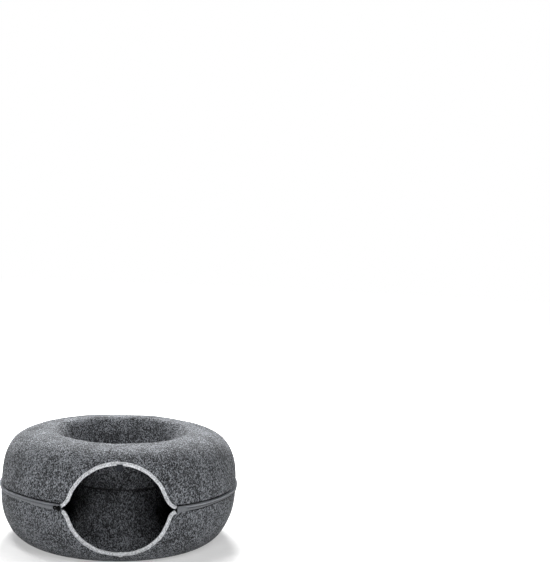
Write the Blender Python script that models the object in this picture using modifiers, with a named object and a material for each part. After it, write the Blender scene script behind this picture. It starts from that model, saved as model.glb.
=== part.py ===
"""Donut pet bed: a hollow ring of stiff felt that a cat walks through.

Two moulded halves are zipped together round the outside and joined by a seam on the
column round the centre hole. A cat's-eye mouth is cut through the front wall, half of it
in each felt half, and its edges are bound. Metres, +Z up. The bed stands on z = 0 and its
front is at -Y. Everything is turned about one vertical axis, which stands a little in
front of the origin so that the origin is the middle of the bed's footprint.
"""

from math import asin, cos, exp, hypot, pi, radians, sin

import bmesh
import bpy

# The ring's cross-section: radii from the ring's axis, and heights.
AXIS_Y = -0.0089
BODY_RADIUS = 0.246
HEIGHT = 0.228
CREST_RADIUS = 0.146
HOLE_RADIUS = 0.100
WAIST_Z = 0.108
BASE_OUTER = 0.173
BASE_INNER = 0.135
FELT = 0.004

# How square each quarter of the section is: 2 is an ellipse, more is boxier.
UPPER_OUTER_POWER = 3.0
UPPER_INNER_POWER = 1.65
LOWER_OUTER_POWER = 2.2
LOWER_INNER_POWER = 2.2

# Where the two felt halves end.
UPPER_RIM_Z = 0.1225
LOWER_RIM_Z = 0.1130
COLUMN_UPPER_Z = 0.1218
COLUMN_LOWER_Z = 0.1190

# The zip, which runs from one corner of the mouth round the back to the other.
ZIP_INNER_RADIUS = 0.2436
ZIP_FACE_RADIUS = 0.2492
ZIP_BEVEL = 0.0010
ZIP_UPPER_Z = (0.1183, 0.1222)
ZIP_LOWER_Z = (0.1133, 0.1167)
ZIP_GAP_X = (-0.1134, 0.1168)
ZIP_GAP_Z = (0.100, 0.130)
CHAIN_RADII = (0.2446, 0.2472)
CHAIN_Z = (0.1170, 0.1180)
SEAM_TAPE_RADII = (0.1006, 0.1034)
SEAM_TAPE_Z = (0.1193, 0.1212)

# The patch over the zip's end at the right corner of the mouth.
PATCH_AZIMUTHS = (radians(27.6), radians(31.9))
PATCH_Z = (0.1120, 0.1226)
PATCH_RADIUS = 0.2508
PATCH_THICKNESS = 0.0012
PATCH_STEPS = 3

# The mouth. Each half is half an ellipse whose ends flare out to the corners.
MOUTH_FLARE_FALL = 0.0075
MOUTH_UPPER = {
    "corner_z": 0.1190,
    "rise": 0.0812,
    "half_width": 0.092,
    "flare": 0.019,
    "corner_shift": 0.0015,
    "arch_shift": -0.0029,
    "lean": 0.0,
}
MOUTH_LOWER = {
    "corner_z": 0.1160,
    "rise": -0.0866,
    "half_width": 0.096,
    "flare": 0.015,
    "corner_shift": 0.0023,
    "arch_shift": -0.0015,
    "lean": 0.0055,
}
MOUTH_MIDDLE_Z = 0.1175
MOUTH_SIDE_STEPS = 14
MOUTH_STEP_POWER = 1.5
CUTTER_NEAR_Y = -0.17
CUTTER_FAR_Y = -0.30

# The strip folded over the mouth's edge. Its width shrinks in front view where the wall
# leans back, so the width is given along X and along Z.
BINDING_WIDTH_X = 0.0084
BINDING_UPPER_WIDTH_Z = 0.0066
BINDING_LOWER_WIDTH_Z = 0.0082
BINDING_PLY = 0.0012
BINDING_FOLD = 0.0015

# The slider and its pull, which lie on the zip beside the left corner of the mouth.
SLIDER_AZIMUTH = radians(-28.35)
SLIDER_SIZE = (0.0070, 0.0030, 0.0096)
SLIDER_Z = 0.1166
SLIDER_BEVEL = 0.0011
PULL_AZIMUTH = radians(-29.15)
PULL_LENGTH = 0.0112
PULL_HEIGHTS = (0.0062, 0.0088)
PULL_BAR = 0.0020
PULL_CORNER = 0.0016
PULL_NOSE = 0.0040
PULL_NOSE_BAR = 0.0014
PULL_THICKNESS = 0.0012
PULL_DROOP = radians(12)
PULL_Z = 0.1164

# The blank tag at the top of the mouth: it follows the binding down, then hangs free.
TAG_X = -0.0029
TAG_WIDTH = 0.0082
TAG_THICKNESS = 0.0008
TAG_TOP_Z = 0.2042
TAG_BOTTOM_Z = 0.1948

GAP = 0.0003
TURN_STEPS = 44
ARC_STEPS = 7
MERGE_DISTANCE = 0.00001
SMOOTH_ANGLE = radians(40)

FELT_COLOUR = (0.205, 0.215, 0.235, 1.0)
BINDING_COLOUR = (0.50, 0.51, 0.54, 1.0)
TAPE_COLOUR = (0.20, 0.21, 0.23, 1.0)
BLACK_COLOUR = (0.012, 0.012, 0.013, 1.0)
TAG_COLOUR = (0.035, 0.045, 0.070, 1.0)


def clear_scene():
    for obj in list(bpy.data.objects):
        bpy.data.objects.remove(obj, do_unlink=True)


def new_collection(name):
    collection = bpy.data.collections.new(name)
    bpy.context.scene.collection.children.link(collection)
    return collection


def new_material(name, colour, roughness, metallic=0.0):
    material = bpy.data.materials.new(name)
    material.use_nodes = True
    shader = material.node_tree.nodes["Principled BSDF"]
    shader.inputs["Base Color"].default_value = colour
    shader.inputs["Roughness"].default_value = roughness
    shader.inputs["Metallic"].default_value = metallic
    material.diffuse_color = colour
    return material


def add_object(name, mesh, collection, parent, material=None):
    obj = bpy.data.objects.new(name, mesh)
    collection.objects.link(obj)
    obj.parent = parent
    if material:
        mesh.materials.append(material)
    else:
        obj.hide_render = True
        obj.display_type = "WIRE"
    return obj


def quarter_arc(side, end, power, start_height=0.0):
    """Points (radius, z) of a quarter superellipse, upright at side and level at end.

    start_height is how far up from side towards end it starts, from 0 to 1.
    """
    first = asin(start_height ** (power / 2))
    points = []
    for step in range(ARC_STEPS + 1):
        angle = first + (pi / 2 - first) * step / ARC_STEPS
        across = cos(angle) ** (2 / power) if step < ARC_STEPS else 0.0
        up = sin(angle) ** (2 / power)
        radius = end[0] + (side[0] - end[0]) * across
        z = side[1] + (end[1] - side[1]) * up
        points.append((radius, z))
    return points


def upper_profile(rim_z, column_z):
    """From the column's seam up, over the crest and down to the zip."""
    crest = (CREST_RADIUS, HEIGHT)
    rise = HEIGHT - WAIST_Z
    inner = quarter_arc(
        (HOLE_RADIUS, WAIST_Z), crest, UPPER_INNER_POWER, (column_z - WAIST_Z) / rise
    )
    outer = quarter_arc(
        (BODY_RADIUS, WAIST_Z), crest, UPPER_OUTER_POWER, (rim_z - WAIST_Z) / rise
    )
    return inner + outer[-2::-1]


def lower_profile(rim_z, column_z):
    """From the zip down, along the flat base and up to the column's seam."""
    outer = quarter_arc((BODY_RADIUS, WAIST_Z), (BASE_OUTER, 0.0), LOWER_OUTER_POWER)
    inner = quarter_arc((HOLE_RADIUS, WAIST_Z), (BASE_INNER, 0.0), LOWER_INNER_POWER)
    return [(BODY_RADIUS, rim_z)] + outer + inner[::-1] + [(HOLE_RADIUS, column_z)]


def upper_radius_at(z):
    """Radius of the upper outer wall at a height above the waist."""
    share = (z - WAIST_Z) / (HEIGHT - WAIST_Z)
    across = (1 - share**UPPER_OUTER_POWER) ** (1 / UPPER_OUTER_POWER)
    return CREST_RADIUS + (BODY_RADIUS - CREST_RADIUS) * across


def turn(name, profile, sweep, steps, collection, parent, material=None, closed=False):
    """A profile at +X turned about the parent's Z axis: a surface, or a solid if closed."""
    points = [(radius, 0.0, z) for radius, z in profile]
    edges = [(index, index + 1) for index in range(len(points) - 1)]
    if closed:
        edges.append((len(points) - 1, 0))
    mesh = bpy.data.meshes.new(name)
    mesh.from_pydata(points, edges, [])
    obj = add_object(name, mesh, collection, parent, material)
    screw = obj.modifiers.new("turn", "SCREW")
    screw.axis = "Z"
    screw.angle = sweep
    screw.steps = steps
    screw.render_steps = steps
    screw.use_smooth_shade = True
    screw.use_merge_vertices = sweep >= 2 * pi
    screw.merge_threshold = MERGE_DISTANCE
    return obj


def thicken(obj, thickness, outside=0.0):
    """Gives a surface its thickness, of which outside lies on its visible side."""
    solidify = obj.modifiers.new("thickness", "SOLIDIFY")
    solidify.thickness = thickness
    solidify.offset = 2 * outside / thickness - 1
    solidify.use_even_offset = True
    solidify.use_rim = True


def boolean(obj, operation, other):
    modifier = obj.modifiers.new(f"{operation.lower()} {other.name}", "BOOLEAN")
    modifier.operation = operation
    modifier.object = other
    modifier.solver = "EXACT"


def shade(obj):
    obj.data.shade_smooth()
    obj.data.set_sharp_from_angle(angle=SMOOTH_ANGLE)


def mouth_point(half, side, step):
    """Point (x, z) on the mouth's bound edge, step counted from the corner to the top."""
    angle = pi / 2 * (step / MOUTH_SIDE_STEPS) ** MOUTH_STEP_POWER
    share = sin(angle)
    corner = exp(-abs(half["rise"]) * share / MOUTH_FLARE_FALL)
    reach = half["half_width"] * cos(angle) + half["flare"] * corner
    shift = half["arch_shift"] + half["lean"] * share
    shift += (half["corner_shift"] - half["arch_shift"]) * corner
    return shift + side * reach, half["corner_z"] + half["rise"] * share


def mouth_edge(half):
    """The mouth's bound edge from its left corner over the middle to its right corner."""
    left = [mouth_point(half, -1, step) for step in range(MOUTH_SIDE_STEPS)]
    right = [mouth_point(half, 1, step) for step in range(MOUTH_SIDE_STEPS, -1, -1)]
    return left + right


def moved_out(edge, outward, width_x, width_z):
    """The edge moved away from the mouth, by width_x where it is upright and width_z level."""
    moved = []
    for index, (x, z) in enumerate(edge):
        before = edge[max(index - 1, 0)]
        after = edge[min(index + 1, len(edge) - 1)]
        along_x = after[0] - before[0]
        along_z = after[1] - before[1]
        length = hypot(along_x, along_z)
        normal_x = -along_z / length * outward
        normal_z = along_x / length * outward
        width = width_x * abs(normal_x) + width_z * abs(normal_z)
        moved.append((x + normal_x * width, z + normal_z * width))
    return moved


def prism(name, loops, near_y, far_y, collection, parent, material=None):
    """A mesh prism along Y whose section is given by closed loops of (x, z) points."""
    curve = bpy.data.curves.new(name, "CURVE")
    curve.dimensions = "2D"
    curve.fill_mode = "BOTH"
    curve.extrude = abs(near_y - far_y) / 2
    for loop in loops:
        spline = curve.splines.new("POLY")
        spline.points.add(len(loop) - 1)
        spline.use_cyclic_u = True
        for point, (x, z) in zip(spline.points, loop):
            point.co = (x, z, 0.0, 1.0)
    outline = bpy.data.objects.new(name, curve)
    outline.location = (0.0, (near_y + far_y) / 2, 0.0)
    outline.rotation_euler = (pi / 2, 0.0, 0.0)
    collection.objects.link(outline)
    bpy.context.view_layer.update()
    evaluated = outline.evaluated_get(bpy.context.evaluated_depsgraph_get())
    mesh = bpy.data.meshes.new_from_object(evaluated)
    placed = outline.matrix_world.copy()
    bpy.data.objects.remove(outline, do_unlink=True)
    bpy.data.curves.remove(curve)
    work = bmesh.new()
    work.from_mesh(mesh)
    bmesh.ops.remove_doubles(work, verts=work.verts, dist=MERGE_DISTANCE)
    bmesh.ops.recalc_face_normals(work, faces=work.faces)
    work.to_mesh(mesh)
    work.free()
    mesh.name = name
    mesh.transform(placed)
    return add_object(name, mesh, collection, parent, material)


def make_felt_half(name, profile, half, outward, bed, cutters, axis, material):
    """One moulded felt half, with its half of the mouth cut out."""
    shell = turn(name, profile, 2 * pi, TURN_STEPS, bed, axis, material)
    thicken(shell, FELT)
    cut = BINDING_FOLD + GAP
    edge = moved_out(mouth_edge(half), outward, cut, cut)
    ends = [(edge[-1][0], MOUTH_MIDDLE_Z), (edge[0][0], MOUTH_MIDDLE_Z)]
    cutter = prism(f"{name}_mouth", [edge + ends], CUTTER_NEAR_Y, CUTTER_FAR_Y, cutters, axis)
    boolean(shell, "DIFFERENCE", cutter)
    shade(shell)
    return shell


def make_binding(name, profiles, half, outward, width_z, bed, cutters, axis, material):
    """A strip folded over the mouth's edge: a thicker wall less the felt it wraps.

    profiles holds the profile of the strip's own wall and that of the room for the felt.
    """
    edge = mouth_edge(half)
    outer = moved_out(edge, outward, BINDING_WIDTH_X, width_z)
    band = prism(f"{name}_band", [edge + outer[::-1]], CUTTER_NEAR_Y, CUTTER_FAR_Y, cutters, axis)
    fold = moved_out(edge, outward, BINDING_FOLD, BINDING_FOLD)
    ends = [(fold[-1][0], MOUTH_MIDDLE_Z), (fold[0][0], MOUTH_MIDDLE_Z)]
    past_fold = prism(f"{name}_fold", [fold + ends], CUTTER_NEAR_Y, CUTTER_FAR_Y, cutters, axis)
    room = turn(f"{name}_room", profiles[1], 2 * pi, TURN_STEPS, cutters, axis)
    thicken(room, FELT + 2 * GAP, GAP)
    boolean(room, "DIFFERENCE", past_fold)
    strip = turn(name, profiles[0], 2 * pi, TURN_STEPS, bed, axis, material)
    side = GAP + BINDING_PLY
    thicken(strip, FELT + 2 * side, side)
    boolean(strip, "INTERSECT", band)
    boolean(strip, "DIFFERENCE", room)
    shade(strip)
    return strip


def block_loop(radii, heights, ease=0.0):
    """A ring's section, its outer side first and downwards, with the outer edges eased."""
    inner, outer = radii
    low, high = heights
    loop = [(outer, high - ease), (outer, low + ease)]
    if ease:
        loop = [(outer - ease, high), *loop, (outer - ease, low)]
    return [*loop, (inner, low), (inner, high)]


def make_ring(name, loop, collection, axis, material, opening=None):
    """A solid ring about the axis, left open where the mouth's opening cuts it."""
    ring = turn(name, loop, 2 * pi, TURN_STEPS, collection, axis, material, closed=True)
    if opening:
        boolean(ring, "DIFFERENCE", opening)
    shade(ring)
    return ring


def make_patch(bed, axis, material):
    """A squared patch bent round the wall over the zip's end, at the mouth's right."""
    face = [(PATCH_RADIUS, PATCH_Z[1]), (PATCH_RADIUS, PATCH_Z[0])]
    sweep = PATCH_AZIMUTHS[1] - PATCH_AZIMUTHS[0]
    patch = turn("zip_end_patch", face, sweep, PATCH_STEPS, bed, axis, material)
    patch.rotation_euler = (0.0, 0.0, PATCH_AZIMUTHS[0] - pi / 2)
    thicken(patch, PATCH_THICKNESS)
    shade(patch)
    return patch


def on_wall(azimuth, radius, z):
    """A place at an azimuth from the front, and the turn about Z that faces it outwards."""
    return (radius * sin(azimuth), -radius * cos(azimuth), z), azimuth


def make_slider(bed, axis, material):
    length, depth, height = SLIDER_SIZE
    mesh = bpy.data.meshes.new("zip_slider")
    work = bmesh.new()
    bmesh.ops.create_cube(work, size=1.0)
    bmesh.ops.scale(work, verts=work.verts, vec=(length, depth, height))
    work.to_mesh(mesh)
    work.free()
    slider = add_object("zip_slider", mesh, bed, axis, material)
    radius = ZIP_FACE_RADIUS + 2 * GAP + depth / 2
    place, turned = on_wall(SLIDER_AZIMUTH, radius, SLIDER_Z)
    slider.location = place
    slider.rotation_euler = (0.0, 0.0, turned)
    bevel = slider.modifiers.new("eased edges", "BEVEL")
    bevel.width = SLIDER_BEVEL
    bevel.segments = 2
    shade(slider)
    return slider


def make_pull(bed, axis, material):
    """A flat tapered loop that lies along the zip, wider at its free end."""
    half = PULL_LENGTH / 2
    narrow, wide = PULL_HEIGHTS[0] / 2, PULL_HEIGHTS[1] / 2
    window_half = narrow - PULL_NOSE_BAR
    outline = [
        (-half, wide - PULL_CORNER),
        (-half + PULL_CORNER, wide),
        (half - PULL_CORNER, narrow),
        (half, narrow - PULL_CORNER),
        (half, PULL_CORNER - narrow),
        (half - PULL_CORNER, -narrow),
        (-half + PULL_CORNER, -wide),
        (-half, PULL_CORNER - wide),
    ]
    window = [
        (-half + PULL_BAR, wide - PULL_BAR),
        (half - PULL_NOSE, window_half),
        (half - PULL_NOSE, -window_half),
        (-half + PULL_BAR, PULL_BAR - wide),
    ]
    reach = PULL_THICKNESS / 2
    pull = prism("zip_pull", [outline, window], -reach, reach, bed, axis, material)
    radius = ZIP_FACE_RADIUS + 3 * GAP + SLIDER_SIZE[1] + reach
    place, turned = on_wall(PULL_AZIMUTH, radius, PULL_Z)
    pull.location = place
    pull.rotation_euler = (0.0, PULL_DROOP, turned)
    shade(pull)
    return pull


def make_tag(bed, axis, material):
    """A blank tag that lies on the upper binding's front and hangs below its edge."""
    proud = 3 * GAP + BINDING_PLY
    edge_z = MOUTH_UPPER["corner_z"] + MOUTH_UPPER["rise"]
    edge_radius = upper_radius_at(edge_z) + proud
    rows = [
        (upper_radius_at(TAG_TOP_Z) + proud, TAG_TOP_Z),
        (edge_radius, edge_z),
        (edge_radius + GAP, TAG_BOTTOM_Z),
    ]
    points = []
    for radius, z in rows:
        points.append((TAG_X - TAG_WIDTH / 2, -radius, z))
        points.append((TAG_X + TAG_WIDTH / 2, -radius, z))
    faces = [(2, 3, 1, 0), (4, 5, 3, 2)]
    mesh = bpy.data.meshes.new("mouth_tag")
    mesh.from_pydata(points, [], faces)
    tag = add_object("mouth_tag", mesh, bed, axis, material)
    thicken(tag, TAG_THICKNESS, TAG_THICKNESS)
    return tag


def main():
    clear_scene()
    bed = new_collection("donut_pet_bed")
    cutters = new_collection("cutters")
    axis = bpy.data.objects.new("ring_axis", None)
    axis.location = (0.0, AXIS_Y, 0.0)
    bed.objects.link(axis)

    felt = new_material("grey_felt", FELT_COLOUR, roughness=0.95)
    pale = new_material("binding_felt", BINDING_COLOUR, roughness=0.9)
    tape = new_material("zip_tape", TAPE_COLOUR, roughness=0.8)
    black = new_material("black_zip", BLACK_COLOUR, roughness=0.4)
    label = new_material("tag_cloth", TAG_COLOUR, roughness=0.8)

    upper = upper_profile(UPPER_RIM_Z, COLUMN_UPPER_Z)
    lower = lower_profile(LOWER_RIM_Z, COLUMN_LOWER_Z)
    make_felt_half("upper_shell", upper, MOUTH_UPPER, 1, bed, cutters, axis, felt)
    make_felt_half("lower_shell", lower, MOUTH_LOWER, -1, bed, cutters, axis, felt)

    upper_walls = [
        upper_profile(MOUTH_MIDDLE_Z, COLUMN_UPPER_Z),
        upper_profile(UPPER_RIM_Z - GAP, COLUMN_UPPER_Z),
    ]
    lower_walls = [
        lower_profile(MOUTH_MIDDLE_Z, COLUMN_LOWER_Z),
        lower_profile(LOWER_RIM_Z + GAP, COLUMN_LOWER_Z),
    ]
    make_binding(
        "mouth_binding_upper", upper_walls, MOUTH_UPPER, 1, BINDING_UPPER_WIDTH_Z,
        bed, cutters, axis, pale,
    )
    make_binding(
        "mouth_binding_lower", lower_walls, MOUTH_LOWER, -1, BINDING_LOWER_WIDTH_Z,
        bed, cutters, axis, pale,
    )

    left, right = ZIP_GAP_X
    low, high = ZIP_GAP_Z
    box = [(left, low), (right, low), (right, high), (left, high)]
    gap = prism("zip_gap", [box], CUTTER_NEAR_Y, CUTTER_FAR_Y, cutters, axis)
    tape_radii = (ZIP_INNER_RADIUS, ZIP_FACE_RADIUS)
    upper_tape = block_loop(tape_radii, ZIP_UPPER_Z, ZIP_BEVEL)
    lower_tape = block_loop(tape_radii, ZIP_LOWER_Z, ZIP_BEVEL)
    make_ring("zip_tape_upper", upper_tape, bed, axis, tape, gap)
    make_ring("zip_tape_lower", lower_tape, bed, axis, tape, gap)
    make_ring("zip_chain", block_loop(CHAIN_RADII, CHAIN_Z), bed, axis, black, gap)
    make_ring("column_seam_tape", block_loop(SEAM_TAPE_RADII, SEAM_TAPE_Z), bed, axis, black)
    make_patch(bed, axis, tape)
    make_slider(bed, axis, black)
    make_pull(bed, axis, black)
    make_tag(bed, axis, label)


main()
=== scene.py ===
"""Looks of the donut pet bed: marled grey felt, pale mouth binding, zip, seam and tag.

Everything is in metres in the frame's own axes: +Z up, the mouth at -Y. A place on the
ring is an azimuth, counted from the front (-Y) towards +X, with a radius from the ring's
axis and a height.
"""

from math import cos, pi, radians, sin

import bpy
import numpy as np
from mathutils import Matrix, Vector


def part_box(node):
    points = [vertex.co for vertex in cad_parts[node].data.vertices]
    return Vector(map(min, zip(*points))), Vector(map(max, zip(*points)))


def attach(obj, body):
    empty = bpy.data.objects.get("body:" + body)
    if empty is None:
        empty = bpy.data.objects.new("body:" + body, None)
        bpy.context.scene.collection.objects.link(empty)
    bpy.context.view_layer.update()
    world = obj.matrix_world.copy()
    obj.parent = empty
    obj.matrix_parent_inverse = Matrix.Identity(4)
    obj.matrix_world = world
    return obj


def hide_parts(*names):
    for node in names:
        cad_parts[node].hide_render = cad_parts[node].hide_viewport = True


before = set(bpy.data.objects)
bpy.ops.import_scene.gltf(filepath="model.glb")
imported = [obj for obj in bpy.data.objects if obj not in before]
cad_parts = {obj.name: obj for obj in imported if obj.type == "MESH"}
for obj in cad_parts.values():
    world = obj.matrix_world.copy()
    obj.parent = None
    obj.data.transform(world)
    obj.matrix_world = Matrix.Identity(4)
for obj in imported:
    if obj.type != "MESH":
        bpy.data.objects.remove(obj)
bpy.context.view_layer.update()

ROOT = "root"

# The ring, read from the frame.
SHELL_LOW, SHELL_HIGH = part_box("upper_shell")
BODY_RADIUS = (SHELL_HIGH.x - SHELL_LOW.x) / 2
AXIS_Y = SHELL_HIGH.y - BODY_RADIUS
HEIGHT = SHELL_HIGH.z

# The rest of its cross-section: radii from the axis, and heights.
CREST_RADIUS = 0.146
HOLE_RADIUS = 0.100
WAIST_Z = 0.108
BASE_OUTER = 0.173
BASE_INNER = 0.135
FELT_PLY = 0.004
TUBE_RADIUS = (BODY_RADIUS + HOLE_RADIUS) / 2

# How square each quarter of the section is: 2 is an ellipse, more is boxier.
UPPER_OUTER_POWER = 3.0
UPPER_INNER_POWER = 1.65
LOWER_POWER = 2.2

# Where the felt halves end: the upper one behind the zip, and both at the column's seam.
UPPER_RIM_Z = 0.1250
COLUMN_UPPER_Z = 0.1244
COLUMN_LOWER_Z = 0.1210

# The mouth. Each half is half an ellipse whose ends flare out and droop at the corners.
MOUTH_FLARE_FALL = 0.0075
MOUTH_UPPER = {
    "corner_z": 0.1190,
    "rise": 0.0836,
    "half_width": 0.092,
    "flare": 0.0173,
    "corner_shift": -0.0002,
    "arch_shift": -0.0029,
    "lean": 0.0,
    "droop_left": 0.0025,
    "droop_right": 0.0038,
}
MOUTH_LOWER = {
    "corner_z": 0.1160,
    "rise": -0.0874,
    "half_width": 0.096,
    "flare": 0.0120,
    "corner_shift": 0.0011,
    "arch_shift": -0.0015,
    "lean": 0.0055,
    "droop_left": 0.0036,
    "droop_right": 0.0032,
}
MOUTH_MIDDLE_Z = 0.1140
MOUTH_SAMPLES = 4000
# How far the felt is cut back inside the binding's fold, and the gap that keeps pieces apart.
FELT_CUT_BACK = 0.0022
GAP = 0.0003


# ---- the felt's surface

# Low waves that sewing leaves in the felt: turns round the ring, turns over its height,
# phase and depth.
WAVES = (
    {"round": 3, "up": 0.7, "phase": 0.6, "depth": 0.00055},
    {"round": 7, "up": -1.3, "phase": 2.1, "depth": 0.00035},
    {"round": 13, "up": 2.2, "phase": 4.0, "depth": 0.00022},
    {"round": 23, "up": -3.1, "phase": 1.2, "depth": 0.00014},
    {"round": 41, "up": 4.7, "phase": 5.1, "depth": 0.00008},
)
# Shallow dents pressed into the felt: azimuth, height, size round and up, depth.
DENTS = (
    {"azimuth": 177, "z": 0.226, "round": 9, "up": 0.020, "depth": 0.0017},
    {"azimuth": -62, "z": 0.165, "round": 9, "up": 0.030, "depth": 0.0008},
    {"azimuth": 70, "z": 0.060, "round": 11, "up": 0.030, "depth": 0.0009},
    {"azimuth": 120, "z": 0.170, "round": 12, "up": 0.035, "depth": 0.0010},
    {"azimuth": -135, "z": 0.070, "round": 13, "up": 0.030, "depth": 0.0010},
)
# Waves and dents fade out below this height, so that the base lies flat.
FLAT_BELOW_Z = 0.030


def smooth(value):
    """0 below 0, 1 above 1, and an easy curve between."""
    share = np.clip(value, 0.0, 1.0)
    return share * share * (3 - 2 * share)


def wrapped(azimuth):
    """The same azimuth, from -pi to pi."""
    return (azimuth + pi) % (2 * pi) - pi


def between(turned, start, rise, end, fall):
    """1 between two azimuths and 0 outside them, eased in over rise and out over fall."""
    return smooth((turned - start) / rise) * smooth((end - turned) / fall)


def within(turned, edge, fade):
    """1 about azimuth 0 and 0 past edge on both sides, eased over fade."""
    return smooth((edge - np.abs(turned)) / fade)


def unevenness(azimuth, z):
    """How far the felt stands out from the true ring at a place, in metres."""
    total = np.zeros(np.broadcast(azimuth, z).shape)
    for wave in WAVES:
        angle = wave["round"] * azimuth + wave["up"] * 2 * pi * z / HEIGHT + wave["phase"]
        total = total + wave["depth"] * np.sin(angle)
    for dent in DENTS:
        across = wrapped(azimuth - radians(dent["azimuth"])) / radians(dent["round"])
        up = (z - dent["z"]) / dent["up"]
        total = total - dent["depth"] * np.exp(-across**2 - up**2)
    return total * smooth(z / FLAT_BELOW_Z)


def at(azimuth, radius, z):
    """Points in the frame from azimuths, radii from the ring's axis and heights."""
    x = radius * np.sin(azimuth)
    y = AXIS_Y - radius * np.cos(azimuth)
    return np.stack(np.broadcast_arrays(x, y, z), axis=-1)


def quarter(side, end, power, start_z=None, count=600):
    """A quarter superellipse of (radius, z), upright at side and level at end."""
    first = 0.0
    if start_z is not None:
        first = np.arcsin(((start_z - side[1]) / (end[1] - side[1])) ** (power / 2))
    angle = np.linspace(first, pi / 2, count)
    across = np.cos(angle) ** (2 / power)
    across[-1] = 0.0
    radius = end[0] + (side[0] - end[0]) * across
    z = side[1] + (end[1] - side[1]) * np.sin(angle) ** (2 / power)
    return np.stack([radius, z], axis=1)


def spaced(points, count, finer=0.0):
    """A polyline's points at count steps along it: even, or finer towards its start."""
    steps = np.linalg.norm(np.diff(points, axis=0), axis=1)
    along = np.concatenate([[0.0], np.cumsum(steps)])
    share = np.linspace(0.0, 1.0, count)
    wanted = along[-1] * share * (1 - finer + finer * share)
    columns = [np.interp(wanted, along, points[:, i]) for i in range(points.shape[1])]
    return np.stack(columns, axis=1)


# The felt's rows, which lie closer together towards the zip.
FELT_ALONG = 106
SECTION_FINER = 0.6


def upper_section():
    """From the zip up, over the crest and down to the column's seam."""
    crest = (CREST_RADIUS, HEIGHT)
    inner = quarter((HOLE_RADIUS, WAIST_Z), crest, UPPER_INNER_POWER, COLUMN_UPPER_Z)
    outer = quarter((BODY_RADIUS, WAIST_Z), crest, UPPER_OUTER_POWER, UPPER_RIM_Z)
    return spaced(np.concatenate([outer, inner[-2::-1]]), FELT_ALONG, SECTION_FINER)


def lower_section():
    """From the zip down, along the flat base and up to the column's seam."""
    outer = quarter((BODY_RADIUS, WAIST_Z), (BASE_OUTER, 0.0), LOWER_POWER)
    inner = quarter((HOLE_RADIUS, WAIST_Z), (BASE_INNER, 0.0), LOWER_POWER)
    top = np.array([[BODY_RADIUS, MOUTH_MIDDLE_Z]])
    column = np.array([[HOLE_RADIUS, COLUMN_LOWER_Z]])
    section = np.concatenate([top, outer, inner[::-1], column])
    return spaced(section, FELT_ALONG, SECTION_FINER)


def wall_radius(z):
    """Radius of the outer wall at a height."""
    up = np.clip((z - WAIST_Z) / (HEIGHT - WAIST_Z), 0.0, 1.0)
    down = np.clip((WAIST_Z - z) / WAIST_Z, 0.0, 1.0)
    upper = (1 - up**UPPER_OUTER_POWER) ** (1 / UPPER_OUTER_POWER)
    lower = (1 - down**LOWER_POWER) ** (1 / LOWER_POWER)
    upper = CREST_RADIUS + (BODY_RADIUS - CREST_RADIUS) * upper
    lower = BASE_OUTER + (BODY_RADIUS - BASE_OUTER) * lower
    return np.where(z > WAIST_Z, upper, lower)


def wall_out(z):
    """The outer wall's outward direction at a height, as (radius, z)."""
    step = 0.0002
    slope = (wall_radius(z + step) - wall_radius(z - step)) / (2 * step)
    out = np.stack([np.ones_like(slope), -slope], axis=-1)
    return out / np.linalg.norm(out, axis=-1, keepdims=True)


def on_wall(azimuth, z, proud=0.0):
    """Points on the outer wall, or proud of it, where the felt stands uneven."""
    out = wall_out(z)
    lift = proud + unevenness(azimuth, z)
    return at(azimuth, wall_radius(z) + out[..., 0] * lift, z + out[..., 1] * lift)


# ---- meshes and pieces


def quads(rows, columns, wrap_rows=False, wrap_columns=False):
    """The faces of a grid of points that is stored row by row."""
    index = np.arange(rows * columns).reshape(rows, columns)
    if wrap_rows:
        index = np.concatenate([index, index[:1]], axis=0)
    if wrap_columns:
        index = np.concatenate([index, index[:, :1]], axis=1)
    corners = [index[:-1, :-1], index[1:, :-1], index[1:, 1:], index[:-1, 1:]]
    return np.stack(corners, axis=-1).reshape(-1, 4)


def facing_out(points, faces):
    """The faces, all turned so that on the whole they face out of the ring's tube."""
    corner = points[faces]
    normal = np.cross(corner[:, 1] - corner[:, 0], corner[:, 2] - corner[:, 0])
    centre = corner.mean(axis=1) - (0.0, AXIS_Y, WAIST_Z)
    level = centre * (1.0, 1.0, 0.0)
    middle = level / np.linalg.norm(level, axis=1, keepdims=True) * TUBE_RADIUS
    return faces[:, ::-1] if (normal * (centre - middle)).sum() < 0 else faces


def new_object(name, data):
    made = bpy.data.objects.new(name, data)
    bpy.context.scene.collection.objects.link(made)
    return made


def new_piece(name, solid, material, nodes=(), sharp=60):
    """A visible piece from (points, faces), creased where it turns by more than sharp."""
    points, faces = solid
    mesh = bpy.data.meshes.new(name)
    mesh.from_pydata(np.asarray(points).tolist(), [], [list(map(int, f)) for f in faces])
    mesh.validate()
    mesh.shade_smooth()
    mesh.set_sharp_from_angle(angle=radians(sharp))
    piece = new_object(name, mesh)
    mesh.materials.append(material)
    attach(piece, ROOT)
    if nodes:
        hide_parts(*nodes)
    return piece


def swept(sections, closed=False):
    """Points and faces of a solid through like sections, each a closed loop of points."""
    rows, columns = sections.shape[:2]
    faces = quads(rows, columns, wrap_rows=closed, wrap_columns=True).tolist()
    if not closed:
        faces.append(list(range(columns - 1, -1, -1)))
        faces.append([(rows - 1) * columns + i for i in range(columns)])
    return sections.reshape(-1, 3), faces


def joined(solids):
    """Several (points, faces) as one."""
    points, faces, start = [], [], 0
    for some_points, some_faces in solids:
        points.append(np.asarray(some_points))
        faces.extend([[start + i for i in face] for face in some_faces])
        start += len(some_points)
    return np.concatenate(points), faces


# ---- the mouth's edge


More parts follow.
